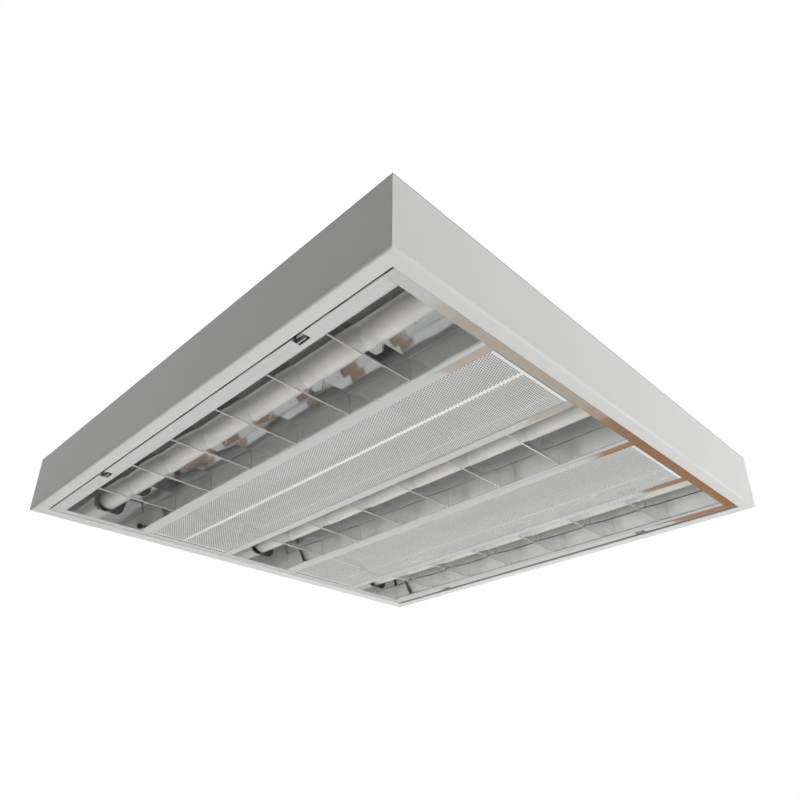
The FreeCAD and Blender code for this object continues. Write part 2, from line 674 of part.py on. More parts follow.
def blades(bay_name, bay):
    """Cross blades of one bay: bright sheet folded to a narrow V, cut to the bay's section."""
    label = f"blades_{bay_name}"
    body = new_body(label)
    low, high = f"({LOUVRE} + blade_lift)", LOUVRE_TOP
    top, edge = "blade_top / 2", "blade_edge / 2"
    fold = draw(body, f"{label}_fold", "XZ_Plane", [[
        (f"-{top}", high, "-blade_curve"),
        (f"-{edge}", low),
        (edge, low, "-blade_curve"),
        (top, high),
        (f"{top} - blade_sheet", high, "blade_curve"),
        (f"{edge} - blade_sheet", f"{low} + blade_sheet"),
        (f"-{edge} + blade_sheet", f"{low} + blade_sheet", "blade_curve"),
        (f"-{top} + blade_sheet", high)]])
    strip = pad(body, f"{label}_strip", fold, "bay_exit", "Symmetric")
    ends = []
    for side in (-1, 1):
        corners = [
            ("bay_exit / 2 + past", f"{LOUVRE} - past"),
            ("bay_exit / 2 + past", f"{high} + past"),
            (f"{THROAT_HALF} - louvre_fit", f"{high} + past"),
            (f"{THROAT_HALF} - louvre_fit", high, "-curve_radius"),
            ("bay_exit / 2 - louvre_fit", LOUVRE),
            ("bay_exit / 2 - louvre_fit", f"{LOUVRE} - past")]
        ends.append([(f"{side} * ({p[0]})", p[1], *[f"{side} * {r}" for r in p[2:]])
                     for p in corners])
    floor, wide = f"({LOUVRE} + blade_notch_floor)", "blade_notch / 2"
    notch = [(f"-{wide}", f"{high} + past"),
             (f"-{wide}", f"{floor} + blade_notch_chamfer"),
             (f"-{wide} + blade_notch_chamfer", floor),
             (f"{wide} - blade_notch_chamfer", floor),
             (wide, f"{floor} + blade_notch_chamfer"),
             (wide, f"{high} + past")]
    trim = pocket(body, f"{label}_trim", draw(body, f"{label}_lines", "YZ_Plane", ends + [notch]))
    repeat_along_x(body, f"{label}_row", [strip, trim], BLADE_PITCH, "blade_count")
    place(body, (f"-{BLADE_PITCH} * (blade_count - 1) / 2", bay, "0"))
    node(body, label)


def perforated_panel(label, side):
    """Flat sheet between two bays, laid on their inner strips. Its fine holes are left to the finish."""
    near = "(bay_exit / 2 + inner_strip - panel_lap)"
    far = f"({LAMP_PITCH} - bay_exit / 2 - inner_strip + panel_lap)"
    low, high = (near, far) if side > 0 else (f"-{far}", f"-{near}")
    ends = f"({LOUVRE_END} - panel_end_gap)"
    node(block(label, (f"-{ends}", low, STRIP_TOP), (ends, high, f"{STRIP_TOP} + panel_sheet")),
         label)


# ---------------------------------------------------------------- hinge and catches

HINGES = {"left": "-hinge_left", "right": "hinge_right"}
HINGE_LINE = f"({HALF} - hinge_inset)"
HINGE_LEVEL = f"({STRIP_TOP} + hinge_pin_radius)"
CATCHES = {"left": "-catch_left", "right": "catch_right"}
CATCH_LINE = f"(-{HALF} + catch_inset)"
CATCH_LEVEL = f"({RIM} + catch_lift)"


def hinge_brackets():
    """Ears welded on the rear rim that reach over its lip and down to the hinge pins."""
    made = []
    floor = f"({RIM} + casing_sheet)"
    arm_low = f"({RIM} + hinge_arm_lift)"
    arm_high = f"({arm_low} + hinge_arm)"
    behind_bend = f"({OPENING} + lip_bend + hinge_fit)"
    before_bend = f"({HALF} - casing_bend)"
    for end, x in HINGES.items():
        near, far = f"{x} - hinge_ear / 2", f"{x} + hinge_ear / 2"
        eye_front = f"{HINGE_LINE} - hinge_eye_radius"
        eye_back = f"{HINGE_LINE} + hinge_eye_radius"
        solid = fuse(f"hinge_solid_{end}", [
            block(f"hinge_foot_{end}", (f"{x} - hinge_foot / 2", behind_bend, floor),
                  (f"{x} + hinge_foot / 2", before_bend, f"{floor} + hinge_foot_sheet")),
            block(f"hinge_post_{end}", (near, behind_bend, floor), (far, before_bend, arm_high)),
            block(f"hinge_arm_{end}", (near, eye_front, arm_low), (far, before_bend, arm_high)),
            block(f"hinge_drop_{end}", (near, eye_front, HINGE_LEVEL), (far, eye_back, arm_high)),
            rod(f"hinge_eye_{end}", "hinge_eye_radius", "hinge_ear",
                (near, HINGE_LINE, HINGE_LEVEL), ALONG_X)])
        bore = rod(f"hinge_bore_{end}", "hinge_pin_radius + hinge_fit", "hinge_ear + 2 * past",
                   (f"{near} - past", HINGE_LINE, HINGE_LEVEL), ALONG_X)
        made.append(cut(f"hinge_bracket_{end}", solid, [bore]))
    node(group("hinge_brackets", made), "hinge_brackets")


def hinge_pins():
    """Pins across the notches of the rear strip, welded down to it on both sides."""
    made = [rod(f"hinge_pin_{end}", "hinge_pin_radius", "hinge_pin_length",
                (f"{x} - hinge_pin_length / 2", HINGE_LINE, HINGE_LEVEL), ALONG_X)
            for end, x in HINGES.items()]
    node(group("hinge_pins", made), "hinge_pins")


EAR_NEAR = "(notch_length / 2 + ear_gap)"
EAR_FAR = f"({EAR_NEAR} + ear_sheet)"


def catch_ears():
    """Pairs of ears on the front strip that hold the catch pins."""
    made = []
    for end, x in CATCHES.items():
        for way, (low, high) in {"a": (f"-{EAR_FAR}", f"-{EAR_NEAR}"),
                                 "b": (EAR_NEAR, EAR_FAR)}.items():
            name = f"catch_ear_{end}_{way}"
            plate = block(f"{name}_plate",
                          (f"{x} + {low}", f"{CATCH_LINE} - ear_width / 2", STRIP_TOP),
                          (f"{x} + {high}", f"{CATCH_LINE} + ear_width / 2",
                           f"{STRIP_TOP} + ear_height"))
            bore = rod(f"{name}_bore", "catch_pin_radius + ear_fit", "ear_sheet + 2 * past",
                       (f"{x} + {low} - past", CATCH_LINE, CATCH_LEVEL), ALONG_X)
            made.append(cut(name, plate, [bore]))
    node(group("catch_ears", made), "catch_ears")


def catch_pins():
    made = [rod(f"catch_pin_{end}", "catch_pin_radius", f"2 * {EAR_FAR}",
                (f"{x} - {EAR_FAR}", CATCH_LINE, CATCH_LEVEL), ALONG_X)
            for end, x in CATCHES.items()]
    node(group("catch_pins", made), "catch_pins")


def catch(label, x):
    """Finger catch: a tab in the notch of the strip tips a nose away from the lip of the rim."""
    near, far = f"{x} - catch_width / 2", f"{x} + catch_width / 2"
    nose_top = f"{CATCH_LEVEL} + catch_hub_radius"
    solid = fuse(f"{label}_solid", [
        rod(f"{label}_hub", "catch_hub_radius", "catch_width", (near, CATCH_LINE, CATCH_LEVEL),
            ALONG_X),
        block(f"{label}_nose", (near, f"-{OPENING} + catch_reach_gap", f"{nose_top} - catch_nose"),
              (far, CATCH_LINE, nose_top)),
        block(f"{label}_tab", (near, f"{CATCH_LINE} - catch_tab / 2",
                               f"{CATCH_LEVEL} - catch_tab_drop"),
              (far, f"{CATCH_LINE} + catch_tab / 2", CATCH_LEVEL))])
    bore = rod(f"{label}_bore", "catch_pin_radius + catch_fit", "catch_width + 2 * past",
               (f"{near} - past", CATCH_LINE, CATCH_LEVEL), ALONG_X)
    node(cut(label, solid, [bore]), label)


# ---------------------------------------------------------------- control gear

def ballast_stud_places():
    """Where the feet of both ballasts are held: the middle of each foot."""
    rows = {"twin": ("twin_place", "twin_length", f"-{GEAR_ROW}"),
            "single": ("single_place", "single_length", GEAR_ROW)}
    return {f"{name}_{side + 1}": (f"{x} + {side} * ({length} + ballast_foot) / 2", y)
            for name, (x, length, y) in rows.items() for side in (-1, 1)}


def ballast(label, x, y, length):
    """Control gear in a sheet-metal case with a drilled foot at each end."""
    case = block(f"{label}_case",
                 (f"{x} - {length} / 2", f"{y} - ballast_width / 2",
                  f"{UNDER_BACK} - ballast_height"),
                 (f"{x} + {length} / 2", f"{y} + ballast_width / 2", UNDER_BACK))
    doc.recompute()
    rounded = doc.addObject("Part::Fillet", f"{label}_rounded")
    rounded.Base = case
    bottom = case.Shape.BoundBox.ZMin
    radius = value("ballast_bend")
    rounded.Edges = [(i, radius, radius) for i, edge in enumerate(case.Shape.Edges, start=1)
                     if edge.BoundBox.ZMax < bottom + radius]
    foot = block(f"{label}_foot",
                 (f"{x} - {length} / 2 - ballast_foot", f"{y} - ballast_foot_width / 2",
                  f"{UNDER_BACK} - ballast_foot_sheet"),
                 (f"{x} + {length} / 2 + ballast_foot", f"{y} + ballast_foot_width / 2",
                  UNDER_BACK))
    holes = [rod(f"{label}_hole_{side + 1}", "stud_radius + stud_fit",
                 "ballast_foot_sheet + 2 * past",
                 (f"{x} + {side} * ({length} + ballast_foot) / 2", y,
                  f"{UNDER_BACK} - ballast_foot_sheet - past")) for side in (-1, 1)]
    node(cut(label, fuse(f"{label}_solid", [rounded, foot]), holes), label)


def ballast_studs():
    made = [rod(f"ballast_stud_{name}", "stud_radius", "stud_length",
                (x, y, f"{UNDER_BACK} - stud_length"))
            for name, (x, y) in ballast_stud_places().items()]
    node(group("ballast_studs", made), "ballast_studs")


def hex_nut(name, x, y, top):
    outer = doc.addObject("Part::Prism", f"{name}_hexagon")
    outer.Polygon = 6
    bind(outer, Circumradius="nut_radius", Height="nut_height")
    place(outer, (x, y, f"{top} - nut_height"))
    bore = rod(f"{name}_bore", "stud_radius + nut_fit", "nut_height + 2 * past",
               (x, y, f"{top} - nut_height - past"))
    return cut(name, outer, [bore])


def ballast_nuts():
    made = [hex_nut(f"ballast_nut_{name}", x, y, f"{UNDER_BACK} - ballast_foot_sheet")
            for name, (x, y) in ballast_stud_places().items()]
    node(group("ballast_nuts", made), "ballast_nuts")


def terminal_wells():
    """Middles of the two rows of screw wells."""
    count = int(value("terminal_poles"))
    return [(f"terminal_place + ({i} - (terminal_poles - 1) / 2) * terminal_pitch",
             f"{GEAR_ROW} + {row} * terminal_row / 2") for i in range(count) for row in (-1, 1)]


TERMINAL_FACE = f"({UNDER_BACK} - terminal_height)"


def terminal_block():
    half_x, half_y = "terminal_length / 2", "terminal_width / 2"
    whole = block("terminal_case",
                  (f"terminal_place - {half_x}", f"{GEAR_ROW} - {half_y}", TERMINAL_FACE),
                  (f"terminal_place + {half_x}", f"{GEAR_ROW} + {half_y}", UNDER_BACK))
    wells = [rod(f"terminal_well_{i}", "terminal_well_radius", "terminal_well + past",
                 (x, y, f"{TERMINAL_FACE} - past")) for i, (x, y) in enumerate(terminal_wells())]
    node(cut("terminal_block", whole, wells), "terminal_block")


def terminal_screws():
    made = [rod(f"terminal_screw_{i}", "terminal_screw_radius", "terminal_screw",
                (x, y, f"{TERMINAL_FACE} + terminal_well - terminal_screw"))
            for i, (x, y) in enumerate(terminal_wells())]
    node(group("terminal_screws", made), "terminal_screws")


def earth_terminal():
    x, y = "earth_place", f"{GEAR_ROW} + earth_shift"
    node(rod("earth_stud", "stud_radius", "earth_length", (x, y, f"{UNDER_BACK} - earth_length")),
         "earth_stud")
    node(hex_nut("earth_nut", x, y, UNDER_BACK), "earth_nut")


# ---------------------------------------------------------------- the whole light

def build():
    fill_sheet()
    back_plate()
    for quarter, side in enumerate(["front", "right", "rear", "left"]):
        wall(f"wall_{side}", 90 * quarter)
    corner_brackets()
    back_screws()
    cable_grommet()
    for end, turn in ENDS.items():
        holder_rail(f"holder_rail_{end}", turn)
        end_plate(f"end_plate_{end}", turn)
    for bay_name, bay in BAYS.items():
        roof_reflector(bay_name, bay)
        for end, turn in ENDS.items():
            lampholder(f"lampholder_{bay_name}_{end}", bay, turn)
        lamp_tube(bay_name, bay)
        lamp_caps(bay_name, bay)
        lamp_pins(bay_name, bay)
        rotors(bay_name, bay)
        blades(bay_name, bay)
    front, middle, rear = BAYS.values()
    side_reflector("side_reflector_front_outer", front, -1, "outer_strip", CATCHES.values())
    side_reflector("side_reflector_front_inner", front, 1, "inner_strip")
    side_reflector("side_reflector_middle_front", middle, -1, "inner_strip")
    side_reflector("side_reflector_middle_rear", middle, 1, "inner_strip")
    side_reflector("side_reflector_rear_inner", rear, -1, "inner_strip")
    side_reflector("side_reflector_rear_outer", rear, 1, "outer_strip", HINGES.values())
    perforated_panel("perforated_panel_front", -1)
    perforated_panel("perforated_panel_rear", 1)
    hinge_brackets()
    hinge_pins()
    catch_ears()
    catch_pins()
    for end, x in CATCHES.items():
        catch(f"catch_{end}_lever", x)
    ballast("ballast_twin", "twin_place", f"-{GEAR_ROW}", "twin_length")
    ballast("ballast_single", "single_place", GEAR_ROW, "single_length")
    ballast_studs()
    ballast_nuts()
    terminal_block()
    terminal_screws()
    earth_terminal()
    doc.recompute()


def check():
    """Stop if any object failed, or any sub-part has no valid solid."""
    for thing in doc.Objects:
        if {"Invalid", "Error"} & set(thing.State):
            raise RuntimeError(f"{thing.Name} failed: {thing.State}")
    for thing in nodes:
        shape = thing.Shape
        if shape.isNull() or not shape.isValid() or not shape.Solids:
            raise RuntimeError(f"{thing.Label} has no valid solid")


def write():
    os.makedirs("parts", exist_ok=True)
    for thing in nodes:
        thing.Shape.exportStep(f"parts/{thing.Label}.step")


build()
check()
write()
for made in nodes:
    print(made.Label, len(made.Shape.Solids), round(made.Shape.Volume, 1))
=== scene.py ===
import json
import math

import bmesh
import bpy
from mathutils import Matrix, Vector

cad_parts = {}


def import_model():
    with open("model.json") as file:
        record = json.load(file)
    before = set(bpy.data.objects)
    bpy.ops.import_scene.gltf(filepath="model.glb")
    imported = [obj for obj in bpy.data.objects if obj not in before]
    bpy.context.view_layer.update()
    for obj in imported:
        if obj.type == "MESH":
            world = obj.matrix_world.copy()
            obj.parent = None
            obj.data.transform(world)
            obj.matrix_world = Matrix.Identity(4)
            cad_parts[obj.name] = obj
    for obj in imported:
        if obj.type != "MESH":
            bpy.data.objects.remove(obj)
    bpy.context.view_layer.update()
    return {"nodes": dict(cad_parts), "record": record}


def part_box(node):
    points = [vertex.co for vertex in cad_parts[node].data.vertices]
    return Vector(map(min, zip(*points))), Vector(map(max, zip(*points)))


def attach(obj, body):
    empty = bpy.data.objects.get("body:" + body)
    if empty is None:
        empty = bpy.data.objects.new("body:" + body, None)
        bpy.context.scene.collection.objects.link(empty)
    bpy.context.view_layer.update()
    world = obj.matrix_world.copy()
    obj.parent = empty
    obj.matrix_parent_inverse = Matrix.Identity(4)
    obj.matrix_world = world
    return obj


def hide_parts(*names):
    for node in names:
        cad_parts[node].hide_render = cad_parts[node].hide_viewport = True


# A square ceiling light seen from below, in metres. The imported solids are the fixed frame. Most of
# them, such as the painted box, the end plates, the holders and the lamps, keep their own meshes
# and get materials. Finer meshes of the same size replace the side reflectors, the troughs above
# the lamps, the cross blades and the perforated panels.

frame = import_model()
NODES = frame["nodes"]

MM = 0.001
MERGE = 1e-6  # points closer than this are one


# ---------------------------------------------------------------- node helpers

def add(tree, kind, **sockets):
    """Add a node and set its input sockets by name, with an underscore for each space."""
    made = tree.nodes.new(kind)
    for name, value in sockets.items():
        made.inputs[name.replace("_", " ").title()].default_value = value
    return made


def new_material(name):
    """An empty node material: the material, its tree and the socket that takes its shader."""
    made = bpy.data.materials.new(name)
    made.use_nodes = True
    made.node_tree.nodes.clear()
    out = add(made.node_tree, "ShaderNodeOutputMaterial")
    return made, made.node_tree, out.inputs["Surface"]


def new_surface(name):
    """A material with one Principled shader: the material, its tree and the shader."""
    made, tree, surface = new_material(name)
    shader = add(tree, "ShaderNodeBsdfPrincipled")
    tree.links.new(shader.outputs["BSDF"], surface)
    return made, tree, shader


def noise(tree, scale, detail=2.0, stretch=(1, 1, 1)):
    """Noise over the object coordinates, in metres, times the stretch of each axis."""
    place = add(tree, "ShaderNodeTexCoord")
    mapping = add(tree, "ShaderNodeMapping", scale=stretch)
    made = add(tree, "ShaderNodeTexNoise", scale=scale, detail=detail)
    tree.links.new(place.outputs["Object"], mapping.inputs["Vector"])
    tree.links.new(mapping.outputs["Vector"], made.inputs["Vector"])
    return made.outputs["Fac"]


def tone(colour, share):
    """A darker tone of a colour."""
    return tuple(part * share for part in colour)


def shade(tree, socket, factor, dark, light, margin=0.3):
    """Colour a socket from dark to light as a factor goes from margin to 1 - margin."""
    made = add(tree, "ShaderNodeValToRGB")
    first, last = made.color_ramp.elements
    first.position, last.position = margin, 1 - margin
    first.color, last.color = (*dark, 1), (*light, 1)
    tree.links.new(factor, made.inputs["Fac"])
    tree.links.new(made.outputs["Color"], socket)


def roughen(tree, shader, factor, low, high):
    """Roughness that goes from low to high as a factor goes from 0 to 1."""
    made = add(tree, "ShaderNodeMapRange", to_min=low, to_max=high)
    tree.links.new(factor, made.inputs["Value"])
    tree.links.new(made.outputs["Result"], shader.inputs["Roughness"])


def bump(tree, shader, height, depth):
    """Relief of a depth in metres."""
    made = add(tree, "ShaderNodeBump", strength=1.0, distance=depth)
    tree.links.new(height, made.inputs["Height"])
    tree.links.new(made.outputs["Normal"], shader.inputs["Normal"])


def glow(tree, colour, dark_share, scale, strength=1.0):
    """The shader of a light of one colour that is a little darker in soft patches."""
    light = add(tree, "ShaderNodeEmission", strength=strength)
    shade(tree, light.inputs["Color"], noise(tree, scale), tone(colour, dark_share), colour,
          margin=0.35)
    return light.outputs["Emission"]


def mixed(tree, factor, first, second):
    """The first shader where the factor is 0 and the second where it is 1."""
    made = add(tree, "ShaderNodeMixShader")
    tree.links.new(factor, made.inputs["Fac"])
    tree.links.new(first, made.inputs[1])
    tree.links.new(second, made.inputs[2])
    return made.outputs["Shader"]


# ---------------------------------------------------------------- materials

# How noise is stretched along each axis: a small share draws it out.
EVEN = (1, 1, 1)
DRAWN_ALONG_X = (0.1, 1, 1)
ROLLED_ALONG_X = (0.03, 1, 1)
WAVES_ALONG_X = (0.6, 1, 1)

PAINT = (0.66, 0.66, 0.65)
PANEL_PAINT = (0.82, 0.83, 0.82)
# Painted shade: the inside paint is a dark grey that stands for the shade inside the box, seen
# through the panels' holes.
INSIDE_SHADE_GREY = (0.30, 0.30, 0.298)
# Painted shade: the gear cases are dark so that they sink into the shade behind the panels and don't
# show through the holes.
GEAR_SHADE_GREY = (0.27, 0.275, 0.28)
ALUMINIUM = (0.86, 0.87, 0.88)
EDGE_ALUMINIUM = (0.82, 0.82, 0.82)
ZINC = (0.62, 0.63, 0.64)
CATCH_STEEL = (0.70, 0.69, 0.66)
CAP_ALUMINIUM = (0.74, 0.74, 0.73)
BRASS = (0.76, 0.60, 0.32)
POWDER_DARK = (0.62, 0.61, 0.57)
POWDER_LIGHT = (0.66, 0.65, 0.61)
HOLDER_WHITE = (0.74, 0.74, 0.72)
ROTOR_WHITE = (0.70, 0.70, 0.67)
# Painted shade: the terminal block is darkened like the gear cases, for the shade behind the panels.
TERMINAL_SHADE_GREY = (0.36, 0.36, 0.34)
RUBBER = (0.02, 0.02, 0.02)


def painted(name, colour, roughness):
    """Powder coat: a satin colour with a very slight mottle and a fine orange peel."""
    made, tree, shader = new_surface(name)
    mottle = noise(tree, scale=9.0, detail=3.0)
    shade(tree, shader.inputs["Base Color"], mottle, tone(colour, share=0.985), colour,
          margin=0.35)
    roughen(tree, shader, noise(tree, scale=60.0), roughness * 0.9, roughness * 1.1)
    bump(tree, shader, noise(tree, scale=900.0), depth=0.02 * MM)
    return made


def metal(name, colour, roughness, stretch=DRAWN_ALONG_X, spread=0.2, scale=220.0):
    """Metal whose fine lines run along the axis that the stretch keeps small."""
    made, tree, shader = new_surface(name)
    shader.inputs["Metallic"].default_value = 1.0
    lines = noise(tree, scale, detail=3.0, stretch=stretch)
    shade(tree, shader.inputs["Base Color"], lines, tone(colour, share=0.97), colour)
    roughen(tree, shader, lines, roughness * (1 - spread), roughness * (1 + spread))
    bump(tree, shader, lines, depth=0.004 * MM)
    return made


def plastic(name, colour, roughness):
    """Moulded plastic or rubber with a fine grain."""
    made, tree, shader = new_surface(name)
    patches = noise(tree, scale=40.0)
    grain = noise(tree, scale=500.0)
    shade(tree, shader.inputs["Base Color"], patches, tone(colour, share=0.96), colour)
    roughen(tree, shader, grain, roughness * 0.85, roughness * 1.15)
    bump(tree, shader, grain, depth=0.015 * MM)
    return made


def mirror_sheet(name, colour, roughness, clearness):
    """Bright anodised sheet: a hazy mirror with slow waves and fine rolling lines along X.

    The clearness is the share of mirror; the rest is a matte surface of the same colour.
    """
    made, tree, shader = new_surface(name)
    shader.inputs["Metallic"].default_value = clearness
    lines = noise(tree, scale=260.0, stretch=ROLLED_ALONG_X)
    waves = noise(tree, scale=24.0, detail=1.0, stretch=WAVES_ALONG_X)
    shade(tree, shader.inputs["Base Color"], lines, tone(colour, share=0.97), colour)
    roughen(tree, shader, lines, roughness * 0.8, roughness * 1.2)
    bump(tree, shader, waves, depth=0.35 * MM)
    return made


def lamp_glass(name):
    """Phosphor-coated tube: a warm cream white under clear glossy glass."""
    made, tree, shader = new_surface(name)
    powder = noise(tree, scale=120.0, detail=4.0)
    shade(tree, shader.inputs["Base Color"], powder, POWDER_DARK, POWDER_LIGHT)
    roughen(tree, shader, noise(tree, scale=30.0), 0.30, 0.38)
    shader.inputs["Coat Weight"].default_value = 1.0
    shader.inputs["Coat Roughness"].default_value = 0.03
    return made


MATERIALS = {
    "painted_casing": painted("painted_casing", PAINT, roughness=0.42),
    "painted_inside": painted("painted_inside", INSIDE_SHADE_GREY, roughness=0.38),
    "perforated_sheet": painted("perforated_sheet", PANEL_PAINT, roughness=0.4),
    "gear_case": painted("gear_case", GEAR_SHADE_GREY, roughness=0.5),
    "bright_aluminium": mirror_sheet("bright_aluminium", ALUMINIUM, roughness=0.06, clearness=0.88),
    "edge_aluminium": mirror_sheet("edge_aluminium", EDGE_ALUMINIUM, roughness=0.10,
                                   clearness=0.92),
    "zinc_steel": metal("zinc_steel", ZINC, roughness=0.34, stretch=EVEN, spread=0.3, scale=90.0),
    "catch_steel": metal("catch_steel", CATCH_STEEL, roughness=0.3),
    "lamp_cap": metal("lamp_cap", CAP_ALUMINIUM, roughness=0.24),
    "contact_brass": metal("contact_brass", BRASS, roughness=0.22),
    "lamp_glass": lamp_glass("lamp_glass"),
    "rotor_plastic": plastic("rotor_plastic", ROTOR_WHITE, roughness=0.35),
    "holder_plastic": plastic("holder_plastic", HOLDER_WHITE, roughness=0.32),
    "terminal_plastic": plastic("terminal_plastic", TERMINAL_SHADE_GREY, roughness=0.5),
    "grommet_rubber": plastic("grommet_rubber", RUBBER, roughness=0.6),
}
# The blades get a finish of their own: the bright sheet, but mirroring more clearly than the
# reflectors.
BLADE_FINISH = mirror_sheet("bright_aluminium_blade", ALUMINIUM, roughness=0.035, clearness=1.0)


def dress(node, slot):
    """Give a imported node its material; its mesh and place stay as they are."""
    node.data.materials.clear()
    node.data.materials.append(MATERIALS[slot])


for part in frame["record"]["subparts"]:
    dress(NODES[part["node"]], part["material_slot"])


# ---------------------------------------------------------------- meshes

SMOOTH_ANGLE = math.radians(35)


def mesh_piece(name, points, faces, slot, node, body):
    """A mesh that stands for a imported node, rides on its body and is smooth over gentle bends."""
    data = bpy.data.meshes.new(name)
    data.from_pydata(points, [], faces)
    data.materials.append(MATERIALS[slot])
    shaped = bmesh.new()
    shaped.from_mesh(data)
    bmesh.ops.remove_doubles(shaped, verts=shaped.verts, dist=MERGE)
    loose = [point for point in shaped.verts if not point.link_faces]
    bmesh.ops.delete(shaped, geom=loose, context="VERTS")
    bmesh.ops.recalc_face_normals(shaped, faces=shaped.faces)
    for edge in shaped.edges:
        edge.smooth = len(edge.link_faces) == 2 and edge.calc_face_angle() < SMOOTH_ANGLE
    for face in shaped.faces:
        face.smooth = True
    shaped.to_mesh(data)
    shaped.free()
    made = bpy.data.objects.new(name, data)
    bpy.context.scene.collection.objects.link(made)
    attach(made, body)
    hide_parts(node)
    return made


def sweep_along_x(outline, spans):
    """Points and faces of an outline of (y, z) pairs carried along X.

    Each span is (start, end, loop), where the loop lists the outline points that the span keeps.
    One of two spans that meet keeps fewer points, and faces close what only the other has there.
    """
    count = len(outline)
    whole = list(range(count))
    stations = [spans[0][0]] + [end for _, end, _ in spans]
    points = [(x, y, z) for x in stations for y, z in outline]
    faces = []
    for step, (_, _, loop) in enumerate(spans):
        near, far = step * count, (step + 1) * count
        for i, j in zip(loop, loop[1:] + loop[:1]):
            faces.append((near + i, near + j, far + j, far + i))
    faces.append(tuple(spans[0][2]))
    faces.append(tuple(len(spans) * count + i for i in spans[-1][2]))
    for step in range(1, len(spans)):
        kept = min(spans[step - 1][2], spans[step][2], key=len)
        for i, j in zip(kept, kept[1:] + kept[:1]):
            left_out = whole[i:j + 1] if j > i else whole[i:] + whole[:j + 1]
            if len(left_out) > 2:
                faces.append(tuple(step * count + k for k in left_out))
    return points, faces


def joined(parts):
    """Points and faces of several (points, faces) pairs as one."""
    points, faces = [], []
    for more_points, more_faces in parts:
        shift = len(points)
        points += more_points
        faces += [tuple(k + shift for k in face) for face in more_faces]
    return points, faces


def levels(low, high, steps):
    """Even steps from low to high, both included."""
    return [low + (high - low) * i / steps for i in range(steps + 1)]


# ---------------------------------------------------------------- louvre sizes, read from the frame

FIT = 0.2 * MM
SHEET = 0.6 * MM
WALL_RADIUS = 120 * MM
WALL_STEPS = 18
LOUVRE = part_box("end_plate_right")[0].z
LOUVRE_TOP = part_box("blades_middle")[1].z
LOUVRE_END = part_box("side_reflector_middle_rear")[1].x
EXIT_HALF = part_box("blades_middle")[1].y + FIT
BAYS = {}
for bay_name in ("front", "middle", "rear"):
    low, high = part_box(f"lamp_{bay_name}_tube")
    BAYS[bay_name] = (low.y + high.y) / 2


def bay_half(z, sheet=0.0):
    """Half the width of a bay at a level: an arc that starts upright at the louvre's underside."""
    return EXIT_HALF - WALL_RADIUS + math.sqrt((WALL_RADIUS + sheet) ** 2 - (z - LOUVRE) ** 2)


# ---------------------------------------------------------------- side reflectors

STRIP_BEND = 3.2 * MM
BEND_STEPS = 10
STRIP_NOTCH_HALF = 7 * MM
STRIP_NOTCH_DEPTH = 9 * MM
HINGE_PIN_HALF = 15 * MM
# The bay of each side reflector, and its side of it along Y.
SIDES = {
    "side_reflector_front_outer": ("front", -1),
    "side_reflector_front_inner": ("front", 1),
    "side_reflector_middle_front": ("middle", -1),
    "side_reflector_middle_rear": ("middle", 1),
    "side_reflector_rear_inner": ("rear", -1),
    "side_reflector_rear_outer": ("rear", 1),
}


def notch_middles(node):
    """Where a strip is notched along X, for the finger catches or for the hinge pins."""
    if node == "side_reflector_front_outer":
        spans = [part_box("catch_left_lever"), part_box("catch_right_lever")]
        return [(low.x + high.x) / 2 for low, high in spans]
    if node == "side_reflector_rear_outer":
        low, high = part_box("hinge_pins")
        return [low.x + HINGE_PIN_HALF, high.x - HINGE_PIN_HALF]
    return []


def bend_arc(radius):
    """Points of the bend from wall to strip, without the first: a quarter turn from upright."""
    y, z = EXIT_HALF + STRIP_BEND, LOUVRE + STRIP_BEND
    turns = levels(math.pi, 1.5 * math.pi, BEND_STEPS)[1:]
    return [(y + radius * math.cos(a), z + radius * math.sin(a)) for a in turns]


def side_reflector(node, bay_name, side):
    """Bright wall of a bay, bent out along its lower edge into a flat strip."""
    low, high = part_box(node)
    bay = BAYS[bay_name]
    tip = max(side * (low.y - bay), side * (high.y - bay))
    wall = levels(LOUVRE_TOP, LOUVRE + STRIP_BEND, WALL_STEPS)
    inner = [(bay_half(z), z) for z in wall] + bend_arc(STRIP_BEND)
    outer = [(bay_half(z, SHEET), z) for z in wall] + bend_arc(STRIP_BEND - SHEET)
    strip = [(tip - STRIP_NOTCH_DEPTH, LOUVRE), (tip, LOUVRE),
             (tip, LOUVRE + SHEET), (tip - STRIP_NOTCH_DEPTH, LOUVRE + SHEET)]
    outline = inner + strip + outer[::-1]
    whole = list(range(len(outline)))
    tip_points = (len(inner) + 1, len(inner) + 2)
    notched = [i for i in whole if i not in tip_points]
    spans = []
    start = low.x
    for middle in notch_middles(node):
        spans.append((start, middle - STRIP_NOTCH_HALF, whole))
        spans.append((middle - STRIP_NOTCH_HALF, middle + STRIP_NOTCH_HALF, notched))
        start = middle + STRIP_NOTCH_HALF
    spans.append((start, high.x, whole))
    placed = [(bay + side * y, z) for y, z in outline]
    points, faces = sweep_along_x(placed, spans)
    mesh_piece(f"{node}_sheet", points, faces, "bright_aluminium", node, "louvre")


for node, (bay_name, side) in SIDES.items():
    side_reflector(node, bay_name, side)


# ---------------------------------------------------------------- troughs above the lamps

TROUGH_LIFT = 1 * MM
TROUGH_TAB_HALF = 20 * MM
TROUGH_RIDGE_HALF = 12 * MM
TROUGH_RIDGE = 3.5 * MM
TROUGH_END_GAP = 2.4 * MM


def trough_skin(top, sheet):
    """Points across one skin of a trough: a wall, a flat top with a hanging ridge, a wall."""
    half = [(bay_half(z, sheet), z) for z in levels(LOUVRE_TOP + TROUGH_LIFT, top, WALL_STEPS)]
    half += [(TROUGH_TAB_HALF, top), (TROUGH_RIDGE_HALF, top)]
    return half + [(0, top - TROUGH_RIDGE)] + [(-y, z) for y, z in half[::-1]]


